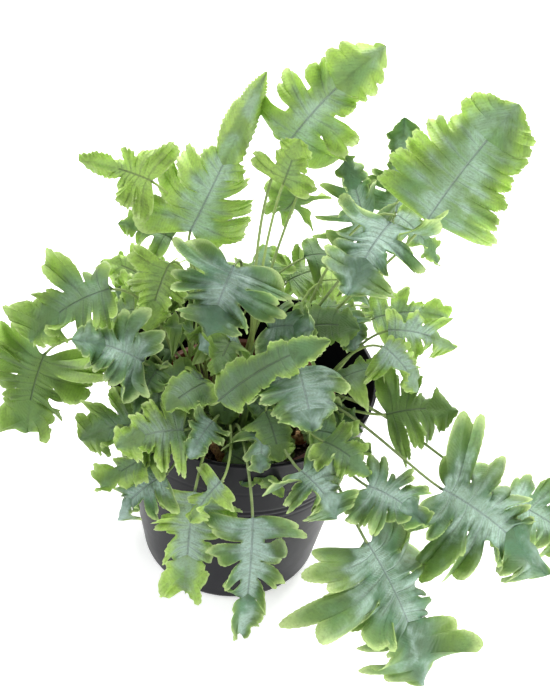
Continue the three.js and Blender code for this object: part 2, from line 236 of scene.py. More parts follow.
def stalk(path, ways, hint, radii, sides):
    # a round tube: at each point of the path a ring square to it, turned from the hint
    across = unit(np.cross(ways, hint))
    over = np.cross(across, ways)
    turn = np.linspace(0, 2 * np.pi, sides, endpoint=False)
    radii = np.asarray(radii)[:, None, None]
    cos, sin = np.cos(turn)[None, :, None], np.sin(turn)[None, :, None]
    rings = path[:, None] + radii * (cos * across[:, None] + sin * over[:, None])
    return sleeve(rings, path[0] - ways[0] * radii[0, 0] * 0.4, path[-1] + ways[-1] * radii[-1, 0] * 0.8)


def lathe(profile, sides):
    # a profile of (radius, height) points carried round Z; it starts and ends on the axis
    profile = np.asarray(profile, float)
    turn = np.linspace(0, 2 * np.pi, sides, endpoint=False)
    radius = profile[1:-1, 0][:, None] * np.ones(sides)
    height = profile[1:-1, 1][:, None] * np.ones(sides)
    rings = np.stack([radius * np.cos(turn), radius * np.sin(turn), height], -1)
    return sleeve(rings, (0, 0, profile[0, 1]), (0, 0, profile[-1, 1]))


def corner(at, radius, start, end, steps=5):
    # points on an arc from one angle to another, in degrees
    angle = np.radians(np.linspace(start, end, steps))
    return [(at[0] + radius * np.cos(a), at[1] + radius * np.sin(a)) for a in angle]


class Shader:
    # a material's nodes, with short ways to add one and join it up
    def __init__(self, name):
        self.material = bpy.data.materials.new(name)
        self.material.use_nodes = True
        self.tree = self.material.node_tree
        self.tree.nodes.clear()

    def put(self, kind, inputs=None, **settings):
        made = self.tree.nodes.new(kind)
        for key, value in settings.items():
            setattr(made, key, value)
        for key, value in (inputs or {}).items():
            if isinstance(value, bpy.types.NodeSocket):
                self.tree.links.new(value, made.inputs[key])
            else:
                made.inputs[key].default_value = value
        return made

    def math(self, operation, a, b=0.0, clamp=False):
        return self.put("ShaderNodeMath", {0: a, 1: b}, operation=operation, use_clamp=clamp).outputs[0]

    def ramp(self, value, low, high, start=0.0, end=1.0):
        made = self.put("ShaderNodeMapRange", {
            "Value": value, "From Min": low, "From Max": high, "To Min": start, "To Max": end,
        })
        made.interpolation_type = "SMOOTHSTEP"
        return made.outputs["Result"]

    def mix(self, share, a, b):
        made = self.put("ShaderNodeMix", data_type="RGBA")
        for socket, value in ((made.inputs[0], share), (made.inputs[6], a), (made.inputs[7], b)):
            if isinstance(value, bpy.types.NodeSocket):
                self.tree.links.new(value, socket)
            else:
                socket.default_value = value if isinstance(value, float) else (*value, 1)
        return made.outputs[2]

    def noise(self, vector, scale, detail=3.0, roughness=0.5):
        made = self.put("ShaderNodeTexNoise", {
            "Vector": vector, "Scale": scale, "Detail": detail, "Roughness": roughness,
        })
        return made.outputs[0]

    def objectCoords(self):
        return self.put("ShaderNodeTexCoord").outputs["Object"]

    def field(self, name):
        vector = self.put("ShaderNodeAttribute", attribute_name=name).outputs["Vector"]
        return self.put("ShaderNodeSeparateXYZ", {0: vector}).outputs

    def bump(self, height, strength, distance):
        made = self.put("ShaderNodeBump", {"Height": height, "Strength": strength, "Distance": distance})
        return made.outputs[0]

    def coat(self, base, roughness, normal, gloss=1.5):
        made = self.put("ShaderNodeBsdfPrincipled", {
            "Base Color": base, "Roughness": roughness, "IOR": gloss, "Normal": normal,
        })
        return made.outputs[0]

    def finish(self, surface):
        self.put("ShaderNodeOutputMaterial", {"Surface": surface})
        return self.material


def plasticFinish(name, colour, paler, roughness, gloss, grain, haze):
    # moulded plastic: a fine grain in the surface, faint handling marks and a little dust in the colour
    s = Shader(name)
    at = s.objectCoords()
    broad = s.noise(at, 9.0, 4.0)
    fine = s.noise(at, 900.0, 2.0)
    dust = s.ramp(s.noise(at, 60.0, 6.0, 0.7), 0.5, 0.8, 0.0, haze)
    base = s.mix(broad, colour, paler)
    base = s.mix(dust, base, (0.3, 0.29, 0.27))
    rough = s.ramp(s.noise(at, 26.0, 5.0, 0.65), 0.3, 0.7, roughness - 0.04, roughness + 0.06)
    return s.finish(s.coat(base, rough, s.bump(fine, grain, 0.0002), gloss))


planterPlastic = plasticFinish(
    "satin_anthracite_plastic", (0.005, 0.005, 0.008), (0.009, 0.008, 0.012), 0.34, 1.22, 0.12, 0.01)
nurseryPlastic = plasticFinish(
    "red_brown_nursery_plastic", (0.15, 0.045, 0.028), (0.2, 0.065, 0.04), 0.5, 1.4, 0.3, 0.2)

leafColours = {
    "blueGreen": (0.035, 0.1, 0.065),
    "blueGreenPale": (0.11, 0.26, 0.17),
    # a shade-darkened green: painted shade, and some fronds' own darker green
    "shadedDeepGreen": (0.04, 0.1, 0.025),
    "yellowGreen": (0.5, 0.7, 0.16),
    # waxy bloom, which also stands for painted sheen
    "bloomAndSheen": (0.56, 0.72, 0.7),
    "margin": (0.74, 0.86, 0.42),
    "vein": (0.14, 0.17, 0.12),
    "veinPale": (0.34, 0.42, 0.36),
    "speck": (0.1, 0.15, 0.07),
    "glow": (0.66, 0.86, 0.36),        # light that comes through the blade
    "stem": (0.16, 0.22, 0.08),
    "stemPale": (0.25, 0.32, 0.13),
    "stemFoot": (0.12, 0.075, 0.04),
    "rib": (0.2, 0.23, 0.16),
}
leafPattern = {
    "veinPitch": 0.0024,      # from one side vein to the next
    "wander": 70.0,           # scales of the noises, in waves to a metre
    "patch": 30.0,
    "bloomPatch": 44.0,
    "fine": 520.0,
    "streakAcross": 520.0,
    "streakAlong": 70.0,
    "relief": 0.7,
    "reliefDepth": 0.0008,
    "through": 0.4,           # share of the light that goes through the blade
}


def leafFinish():
    # field vein: distance from the lobe's vein, distance out from the midrib, share of the way to the margin
    # field tone: how yellow, how much waxy bloom (partly painted sheen), how dark the frond is (its own darker
    # green and painted shade)
    s = Shader("fern_blade")
    p = leafPattern
    at = s.objectCoords()
    aside, outward, share = s.field("vein")
    yellow, bloomAndSheen, dark = s.field("tone")
    wander = s.noise(at, p["wander"], 2.0)
    patch = s.noise(at, p["patch"], 4.0, 0.6)
    fine = s.noise(at, p["fine"], 4.0, 0.65)

    # streaks that run out along each lobe, fine across it and long down it
    streakAt = s.put("ShaderNodeCombineXYZ", {
        "X": s.math("MULTIPLY", aside, p["streakAcross"]),
        "Y": s.math("MULTIPLY", outward, p["streakAlong"]),
        "Z": s.math("MULTIPLY", wander, 1.5),
    }).outputs[0]
    streak = s.noise(streakAt, 1.0, 3.0, 0.6)

    # herringbone of side veins that slope out from each lobe's own vein
    slope = s.math("SUBTRACT", outward, s.math("MULTIPLY", aside, 0.9))
    bent = s.math("ADD", slope, s.math("MULTIPLY", wander, 0.004))
    wave = s.math("SINE", s.math("MULTIPLY", bent, 2 * np.pi / p["veinPitch"]))
    herring = s.ramp(wave, 0.4, 1.0)

    # a lobe's vein, which fades towards the margin, and the midrib
    lobeVein = s.ramp(aside, 0.0, 0.0008, 1.0, 0.0)
    lobeVein = s.math("MULTIPLY", lobeVein, s.ramp(share, 0.4, 0.9, 1.0, 0.0))
    midrib = s.ramp(outward, 0.0001, 0.0012, 1.0, 0.0)
    veins = s.math("MAXIMUM", s.math("MULTIPLY", lobeVein, 0.5), midrib)

    # blue-green in the middle, yellower towards the margin
    base = s.mix(s.ramp(patch, 0.35, 0.65), leafColours["blueGreen"], leafColours["blueGreenPale"])
    # painted shade, with some of the frond's own darker green: the dark tone darkens the blade, most on fronds
    # low in the pot
    base = s.mix(dark, base, leafColours["shadedDeepGreen"])
    ripe = s.math("ADD", s.math("MULTIPLY", yellow, 0.6), s.ramp(share, 0.35, 1.0, 0.0, 0.75))
    ripe = s.math("MULTIPLY", ripe, s.ramp(yellow, 0.0, 0.8, 0.5, 1.45))
    ripe = s.math("MULTIPLY", ripe, s.ramp(patch, 0.3, 0.7, 1.25, 0.75), clamp=True)
    # the yellow-green is darkened by the same painted shade
    base = s.mix(ripe, base, s.mix(dark, leafColours["yellowGreen"], (0.13, 0.25, 0.06)))

    # waxy bloom, partly painted sheen: thick along the midrib and the lobes' veins, in long streaks farther out
    nearVein = s.math(
        "MAXIMUM", s.ramp(aside, 0.0, 0.006, 0.7, 0.1), s.ramp(outward, 0.0, 0.026, 0.85, 0.0))
    nearVein = s.math("MULTIPLY", nearVein, s.ramp(share, 0.3, 0.85, 1.0, 0.0))
    cover = s.math("ADD", nearVein, s.ramp(s.noise(at, p["bloomPatch"], 3.0, 0.55), 0.42, 0.66, 0.0, 0.7))
    cover = s.math("MULTIPLY", cover, s.ramp(streak, 0.3, 0.65, 0.55, 1.0))
    fading = s.math("MULTIPLY", bloomAndSheen, s.ramp(share, 0.5, 1.0, 1.0, 0.45))
    waxAndSheen = s.math("MULTIPLY", cover, fading, clamp=True)
    # one pale colour paints the bloom and the sheen together
    base = s.mix(s.ramp(waxAndSheen, 0.0, 1.0, 0.0, 0.9), base, leafColours["bloomAndSheen"])

    base = s.mix(s.ramp(streak, 0.5, 0.75, 0.0, 0.5), base, leafColours["speck"])
    base = s.mix(s.math("MULTIPLY", herring, 0.13), base, leafColours["vein"])
    line = s.mix(s.ramp(bloomAndSheen, 0.2, 0.6), leafColours["vein"], leafColours["veinPale"])
    base = s.mix(s.math("MULTIPLY", veins, 0.45), base, line)
    # painted shade also dims the pale margin on dark fronds
    rim = s.math("MULTIPLY", s.ramp(share, 0.87, 1.0), s.ramp(dark, 0.0, 0.8, 0.8, 0.15))
    base = s.mix(rim, base, leafColours["margin"])
    base = s.mix(s.ramp(fine, 0.45, 0.75, 0.0, 0.4), base, leafColours["speck"])

    relief = s.math("ADD", s.math("MULTIPLY", wave, 0.1), s.math("MULTIPLY", veins, -1.3))
    relief = s.math("ADD", relief, s.math("MULTIPLY", patch, 2.2))
    relief = s.math("ADD", relief, s.math("MULTIPLY", streak, 0.6))
    relief = s.math("ADD", relief, s.math("MULTIPLY", fine, 0.9))
    normal = s.bump(relief, p["relief"], p["reliefDepth"])
    rough = s.ramp(patch, 0.3, 0.75, 0.38, 0.56)
    shine = s.coat(base, rough, normal, 1.42)
    lit = s.mix(0.5, base, leafColours["glow"])
    through = s.mix(s.math("MULTIPLY", veins, 0.8), lit, leafColours["vein"])
    glow = s.put("ShaderNodeBsdfTranslucent", {"Color": through, "Normal": normal})
    both = s.put("ShaderNodeMixShader", {0: p["through"], 1: shine, 2: glow.outputs[0]})
    return s.finish(both.outputs[0])


def stemFinish():
    # field vein's third value is 0 at the foot of the stem and 1 at the tip of the midrib
    s = Shader("fern_stem")
    at = s.objectCoords()
    share = s.field("vein")[2]
    yellow = s.field("tone")[0]
    streak = s.noise(at, 180.0, 4.0, 0.6)
    base = s.mix(s.ramp(share, 0.0, 0.25), leafColours["stemFoot"], leafColours["stem"])
    base = s.mix(s.ramp(streak, 0.35, 0.7), base, leafColours["stemPale"])
    base = s.mix(s.math("MULTIPLY", yellow, 0.4), base, leafColours["yellowGreen"])
    base = s.mix(s.ramp(share, 0.5, 0.7), base, leafColours["rib"])
    return s.finish(s.coat(base, 0.42, s.bump(streak, 0.4, 0.0004), 1.45))


def soilFinish():
    # damp peat: dark crumbs, paler fibres and pits in the surface
    s = Shader("potting_mix")
    at = s.objectCoords()
    crumbs = s.put("ShaderNodeTexVoronoi", {"Vector": at, "Scale": 330.0}).outputs["Distance"]
    lumps = s.noise(at, 70.0, 6.0, 0.7)
    fibres = s.ramp(s.noise(at, 210.0, 5.0, 0.8), 0.55, 0.75)
    base = s.mix(lumps, (0.012, 0.008, 0.006), (0.06, 0.038, 0.024))
    base = s.mix(s.math("MULTIPLY", fibres, 0.6), base, (0.15, 0.1, 0.06))
    height = s.math("ADD", s.math("MULTIPLY", crumbs, -1.0), lumps)
    return s.finish(s.coat(base, 0.95, s.bump(height, 0.9, 0.0025)))


def rhizomeFinish():
    # golden-brown scales that overlap along the rhizome
    s = Shader("rhizome_scales")
    at = s.objectCoords()
    scales = s.put("ShaderNodeTexVoronoi", {"Vector": at, "Scale": 420.0}).outputs["Distance"]
    patches = s.noise(at, 110.0, 4.0, 0.6)
    base = s.mix(patches, (0.16, 0.06, 0.018), (0.46, 0.24, 0.09))
    base = s.mix(s.ramp(scales, 0.1, 0.7), base, (0.55, 0.33, 0.15))
    return s.finish(s.coat(base, 0.85, s.bump(scales, 0.9, 0.0012)))


def barkFinish(name, dark, pale):
    s = Shader(name)
    at = s.objectCoords()
    grain = s.noise(at, 260.0, 5.0, 0.7)
    base = s.mix(grain, dark, pale)
    return s.finish(s.coat(base, 0.9, s.bump(grain, 0.7, 0.001)))


def floorFinish():
    s = Shader("pale_floor")
    grain = s.noise(s.objectCoords(), 3.0, 2.0)
    base = s.mix(grain, (0.86, 0.86, 0.86), (0.9, 0.9, 0.9))
    shine = s.put("ShaderNodeBsdfPrincipled", {
        "Base Color": base, "Roughness": 0.9, "Emission Color": (1, 1, 1, 1), "Emission Strength": 0.45,
    })
    return s.finish(shine.outputs[0])


blade, stem = leafFinish(), stemFinish()
print("materials are mixed")


def layFloor():
    half = floorSide / 2
    data = bpy.data.meshes.new("floor")
    corners = [(-half, -half, 0), (half, -half, 0), (half, half, 0), (-half, half, 0)]
    data.from_pydata(corners, [], [(0, 1, 2, 3)])
    data.materials.append(floorFinish())
    floor = bpy.data.objects.new("floor", data)
    scene.collection.objects.link(floor)


layFloor()


planter = {
    "wall": 3.6 * mm,
    "floor": 5 * mm,
    "recess": 1.2 * mm,       # how far the underside's middle stands up
    "fillet": 9 * mm,
    "baseRadius": 77 * mm,
    "lipRound": 1.3 * mm,
    "grooves": (              # how far under the rim, how deep and how wide
        (76 * mm, 0.35 * mm, 0.9 * mm),
        (69 * mm, 0.7 * mm, 1.3 * mm),
        (63 * mm, 0.7 * mm, 1.3 * mm),
        (38 * mm, 0.3 * mm, 0.7 * mm),
    ),
    "sides": 192,
}


def makePlanter():
    # the wall is a straight line from base to rim, with a round foot, a round lip and turned grooves
    top = potHigh[2]
    rim = (potHigh[0] - potLow[0]) / 2
    p = planter

    def outer(z):
        return p["baseRadius"] + (rim - p["baseRadius"]) * z / top

    fillet, lip = p["fillet"], p["lipRound"]
    recess = p["baseRadius"] * 0.78
    profile = [(0, p["recess"]), (recess, p["recess"]), (p["baseRadius"] * 0.8, 0), (outer(0) - fillet, 0)]
    profile += corner((outer(fillet) - fillet, fillet), fillet, -84, -4, 9)
    below = np.linspace(fillet * 1.4, top - 2 * lip, 150)
    dip = sum(depth * np.exp(-((below - (top - down)) / width) ** 2) for down, depth, width in p["grooves"])
    profile += list(zip(outer(below) - dip, below))
    profile += corner((rim - lip, top - lip), lip, 0, 90)
    profile += corner((rim - p["wall"] + lip, top - lip), lip, 90, 180)
    inside = np.linspace(top - 3 * lip, p["floor"] + fillet, 12)
    profile += list(zip(outer(inside) - p["wall"], inside))
    foot = outer(p["floor"]) - p["wall"]
    profile += corner((foot - fillet, p["floor"] + fillet), fillet, 0, -90, 7)[1:]
    profile += [(0, p["floor"])]
    mesh = Mesh()
    mesh.add(*lathe(profile, p["sides"]))
    mesh.build("outer_planter", [planterPlastic], "planter_plastic", "planter", sharp=35)


makePlanter()


nursery = {
    "wall": 1.6 * mm,
    "lipHeight": 8 * mm,
    "lip": 4 * mm,
    "baseRadius": 58 * mm,
    "ribs": 24,
    "ribDepth": 0.5 * mm,
    "sides": 144,
}


def makeNurseryPot():
    # a thin wall with shallow upright ribs, a rolled lip and a bead under it
    n = nursery
    low, top = innerLow[2], innerHigh[2]
    lipRadius = (innerHigh[0] - innerLow[0]) / 2
    wallTop = lipRadius - n["lip"]
    bead = 1.2 * mm

    def outer(z):
        return n["baseRadius"] + (wallTop - n["baseRadius"]) * (z - low) / (top - low)

    lipBottom = top - n["lipHeight"]
    rise = np.linspace(low + 3 * mm, lipBottom - 0.5 * mm, 20)
    base = n["baseRadius"]
    profile = [(0, low + 1 * mm), (base - 14 * mm, low + 1 * mm), (base - 12 * mm, low), (base - 2 * mm, low)]
    profile += corner((outer(low + 2 * mm) - 2 * mm, low + 2 * mm), 2 * mm, -80, -10, 4)
    profile += list(zip(outer(rise), rise))
    profile += [(outer(lipBottom) + 1 * mm, lipBottom)]
    profile += corner((lipRadius - bead, lipBottom + bead), bead, -80, 0, 4)
    profile += corner((lipRadius - bead, top - bead), bead, 0, 90, 4)
    profile += corner((wallTop - n["wall"] + bead, top - bead), bead, 90, 180, 4)
    fall = np.linspace(top - 3 * mm, low + 4 * mm, 16)
    profile += list(zip(outer(fall) - n["wall"], fall))
    profile += [(base - 4 * mm, low + n["wall"] + 1 * mm), (0, low + n["wall"] + 1 * mm)]
    points, faces = lathe(profile, n["sides"])
    turn = np.arctan2(points[:, 1], points[:, 0])
    radius = np.hypot(points[:, 0], points[:, 1])
    height = points[:, 2]
    fade = smooth(low, low + 0.02, height) * (1 - smooth(lipBottom - 0.012, lipBottom, height))
    onWall = (radius > base - 1 * mm) * fade
    swell = 1 - n["ribDepth"] * onWall * (0.5 - 0.5 * np.cos(n["ribs"] * turn)) / np.maximum(radius, 1e-3)
    points[:, :2] *= swell[:, None]
    mesh = Mesh()
    mesh.add(points, faces)
    mesh.build("growers_pot", [nurseryPlastic], "nursery_plastic", "nursery_pot", sharp=35)


makeNurseryPot()
print("pots are turned")


mix = {
    "rings": 70,
    "sides": 180,
    "lump": 2.2 * mm,
    "seed": 5,
    "chips": {"count": 90, "size": (1.5 * mm, 4.5 * mm), "seed": 11},
    "perlite": {"count": 34, "size": (0.8 * mm, 1.9 * mm), "seed": 12},
}


def lumpiness(x, y, seed):
    # a sum of eight slow waves in random directions, from about -1 to 1
    rng = np.random.default_rng(seed)
    total = np.zeros_like(x)
    for octave in range(8):
        way = rng.uniform(0, 2 * np.pi)
        pace = 90 * 1.55 ** octave
        total += np.sin(pace * (x * np.cos(way) + y * np.sin(way)) + rng.uniform(0, 6.28)) / 1.35 ** octave
    return total / 2.6


def makePottingMix():
    # a lathed block whose top is lumpy; the lumps fade out towards the pot
    top, low = mixHigh[2], mixLow[2]
    reach = (mixHigh[0] - mixLow[0]) / 2
    foot = reach - 15 * mm
    outIn = np.linspace(reach - 1.5 * mm, 1.2 * mm, mix["rings"])
    profile = [(0, low), (foot, low), (reach - 1 * mm, top - 6 * mm), (reach - 0.7 * mm, top - 3 * mm)]
    profile += list(zip(outIn, np.full(mix["rings"], top)))
    profile += [(0, top)]
    points, faces = lathe(profile, mix["sides"])
    radius = np.hypot(points[:, 0], points[:, 1])
    isTop = points[:, 2] > top - 0.1 * mm
    fade = 1 - smooth(reach - 8 * mm, reach, radius)
    lumps = mix["lump"] * lumpiness(points[:, 0], points[:, 1], mix["seed"])
    points[:, 2] += np.where(isTop, lumps * (0.35 + 0.65 * fade) - 1.2 * mm, 0)
    mesh = Mesh()
    mesh.add(points, faces)
    mesh.build("peat_and_roots", [soilFinish()], "potting_mix", "potting_mix", sharp=80)


def scatterBits(name, material, bits):
    # rough little stones: a ball of 4 rings of 6 points and 2 poles, squashed and turned at random, half sunk
    rng = np.random.default_rng(bits["seed"])
    mesh = Mesh()
    tilt = np.linspace(0.45, np.pi - 0.45, 4)[:, None]
    turn = np.linspace(0, 2 * np.pi, 6, endpoint=False)[None, :]
    ball = np.stack([
        np.sin(tilt) * np.cos(turn), np.sin(tilt) * np.sin(turn), np.cos(tilt) * np.ones_like(turn)], -1)
    reach = (mixHigh[0] - mixLow[0]) / 2 - 6 * mm
    for _ in range(bits["count"]):
        squash = np.array([1, rng.uniform(0.5, 0.9), rng.uniform(0.3, 0.6)]) * rng.uniform(*bits["size"])
        rings = ball * squash * rng.uniform(0.8, 1.2, (4, 6, 1))
        spin, lean = rng.uniform(0, 6.28), rng.uniform(-0.5, 0.5)
        turnZ = np.array([[np.cos(spin), -np.sin(spin), 0], [np.sin(spin), np.cos(spin), 0], [0, 0, 1]])
        turnX = np.array([[1, 0, 0], [0, np.cos(lean), -np.sin(lean)], [0, np.sin(lean), np.cos(lean)]])
        away, where = reach * np.sqrt(rng.uniform(0, 1)), rng.uniform(0, 6.28)
        seat = np.array([away * np.cos(where), away * np.sin(where), mixHigh[2] + 0.1 * squash[2]])
        place = rings @ (turnZ @ turnX).T + seat
        poles = np.array([[0, 0, 1.05], [0, 0, -1.05]]) * squash[2] @ (turnZ @ turnX).T + seat
        mesh.add(*sleeve(place, poles[0], poles[1]))
    mesh.build(name, [material], "potting_mix", sharp=30)


makePottingMix()
barkBrown = barkFinish("bark", (0.05, 0.025, 0.012), (0.2, 0.11, 0.06))
scatterBits("bark_chips", barkBrown, mix["chips"])
perliteWhite = barkFinish("perlite_grains", (0.6, 0.58, 0.52), (0.85, 0.83, 0.78))
scatterBits("perlite", perliteWhite, mix["perlite"])
print("pot is filled")


rhizome = {
    "arms": 5,
    "radius": 6 * mm,
    "start": 12 * mm,
    "reach": 64 * mm,
    "sweep": 50,              # degrees that an arm turns on its way out
    "gap": 0.3 * mm,
    "footSink": 1.5 * mm,     # how deep a stem's foot stands in it
    "rows": 60,
    "sides": 22,
    "scaleRelief": 0.35 * mm,
}
rhizomeAxis = mixHigh[2] + rhizome["gap"] + rhizome["radius"]
footHeight = rhizomeAxis + rhizome["radius"] - rhizome["footSink"]


def alongArm(arm, share, height):
    # an arm is a spiral on the potting mix: both its turn and its reach grow evenly with share
    share = np.asarray(share, float)
    turn = np.radians(360 * arm / rhizome["arms"] + rhizome["sweep"] * share)
    reach = rhizome["start"] + (rhizome["reach"] - rhizome["start"]) * share
    return np.stack([reach * np.cos(turn), reach * np.sin(turn), np.broadcast_to(height, share.shape)], -1)


def makeRhizomes():
    # knobbly tubes: two sines along the arm swell the radius, the ends are round, and scales roughen the skin
    rows, sides = rhizome["rows"], rhizome["sides"]
    skin = rhizomeFinish()
    share = np.linspace(-0.04, 1.04, rows)
    for arm in range(rhizome["arms"]):
        path = alongArm(arm, share, rhizomeAxis)
        ways = unit(np.gradient(path, axis=0))
        ends = np.clip(np.minimum(share + 0.05, 1.05 - share) / 0.1, 0.12, 1) ** 0.5
        radii = rhizome["radius"] * ends * (0.9 + 0.07 * np.sin(40 * share + arm) + 0.03 * np.sin(97 * share))
        points, faces = stalk(path, ways, np.array([0, 0, 1.0]), radii, sides)
        rough = lumpiness(points[:, 0] * 3 + points[:, 2] * 2, points[:, 1] * 3 - points[:, 2] * 2, 30 + arm)
        row = np.arange(len(points)) // sides
        centre = np.stack([np.interp(row, np.arange(rows), path[:, k]) for k in range(3)], -1)
        points += rhizome["scaleRelief"] * rough[:, None] * unit(points - centre)
        mesh = Mesh()
        mesh.add(points, faces)
        mesh.build(f"creeping_rhizome_{arm + 1}", [skin], "rhizome_skin", f"rhizome_{arm + 1}", sharp=80)


makeRhizomes()
print("rhizomes are laid")


frond = {
    "stemRadius": 1.5 * mm,
    "stemOverlap": 5 * mm,
    "stemSink": 1.4 * mm,     # how far the stem's end lies under the blade
    "stemRows": 34,
    "stemSides": 10,
    "ribRows": 40,
    "ribSides": 8,
    "thickness": 0.5 * mm,
    "columns": 8,             # from the midrib to either margin
    "toothRows": 3,           # rows of points in one tooth of the margin
    "toothPitch": 3.6 * mm,
    "bladeStart": 0.02,       # share of the midrib where the first lobe starts
    "flutterLimit": 55 * mm,  # the half width from which the waves grow no higher
    "cup": 0.18,
    "lobeCup": 0.04,
    "curl": 1.1,
    "twist": 0.9,
    "swing": 0.1,
    "ripple": 0.06,
    "groove": 0.8 * mm,
    "grooveWidth": 2.2 * mm,
}

# How each kind of blade is cut. first and last are the angles in degrees between the midrib and its lowest
# and highest lobes, and fan is how much a lobe widens. sinus, girth and taper are shares of the half width:
# the uncut part, the end lobe's swell and how much shorter the highest lobes are. lean is the angle to the
# midrib of the line from it to the last sinus. square is how blunt a lobe is, crown is where along the midrib
# the end lobe starts, and gap is the open share between two lobes. tooth is how deep the margin's teeth are in
# millimetres, notch and notches are how deep and how many the cuts in a lobe's end are, and ruffle is how wavy
# the margin is.
kinds = {
    "broad": {
        "first": 96, "last": 50, "fan": 40, "sinus": 0.34, "lean": 60, "square": 3, "crown": 0.56,
        "girth": 0.3, "taper": 0.26, "gap": 0.08, "tooth": 0.8, "notch": 0.34, "notches": 3, "ruffle": 0.2,
    },
    "scalloped": {
        "first": 98, "last": 52, "fan": 26, "sinus": 0.56, "lean": 84, "square": 2.4, "crown": 0.68,
        "girth": 0.26, "taper": 0.06, "gap": 0, "tooth": 0.9, "notch": 0.3, "notches": 2, "ruffle": 0.14,
    },
    "narrow": {
        "first": 94, "last": 44, "fan": 26, "sinus": 0.24, "lean": 55, "square": 2.4, "crown": 0.6,
        "girth": 0.26, "taper": 0.28, "gap": 0.14, "tooth": 0.5, "notch": 0.3, "notches": 2, "ruffle": 0.2,
    },
    "star": {
        "first": 118, "last": 48, "fan": 58, "sinus": 0.3, "lean": 70, "square": 3, "crown": 0.56,
        "girth": 0.3, "taper": 0.22, "gap": 0.16, "tooth": 0.6, "notch": 0.34, "notches": 3, "ruffle": 0.3,
    },
    "lance": {
        "first": 118, "last": 50, "fan": 40, "sinus": 0.22, "lean": 50, "square": 2.6, "crown": 0.46,
        "girth": 0.12, "taper": 0.45, "gap": 0.04, "tooth": 1.7, "notch": 0.15, "notches": 3, "ruffle": 0.16,
    },
}

# looks: how yellow, how waxy (waxy bloom with painted sheen), how dark (own darker green and painted shade);
# the darkest look is painted shade for fronds low in the pot
looks = {
    "frost": (0.12, 1.0, 0.0),
    "blue": (0.15, 0.8, 0.08),
    "teal": (0.06, 0.8, 0.2),
    "pale": (0.6, 0.6, 0.0),
    "fresh": (0.55, 0.6, 0.0),
    "spring": (0.9, 0.15, 0.0),
    "olive": (0.55, 0.05, 0.4),
    "green": (0.45, 0.25, 0.3),
    "lime": (0.95, 0.15, 0.0),
    # painted shade: the darkest look, for fronds in shade low in the pot and under others
    "deep": (0.4, 0.1, 0.65),
}

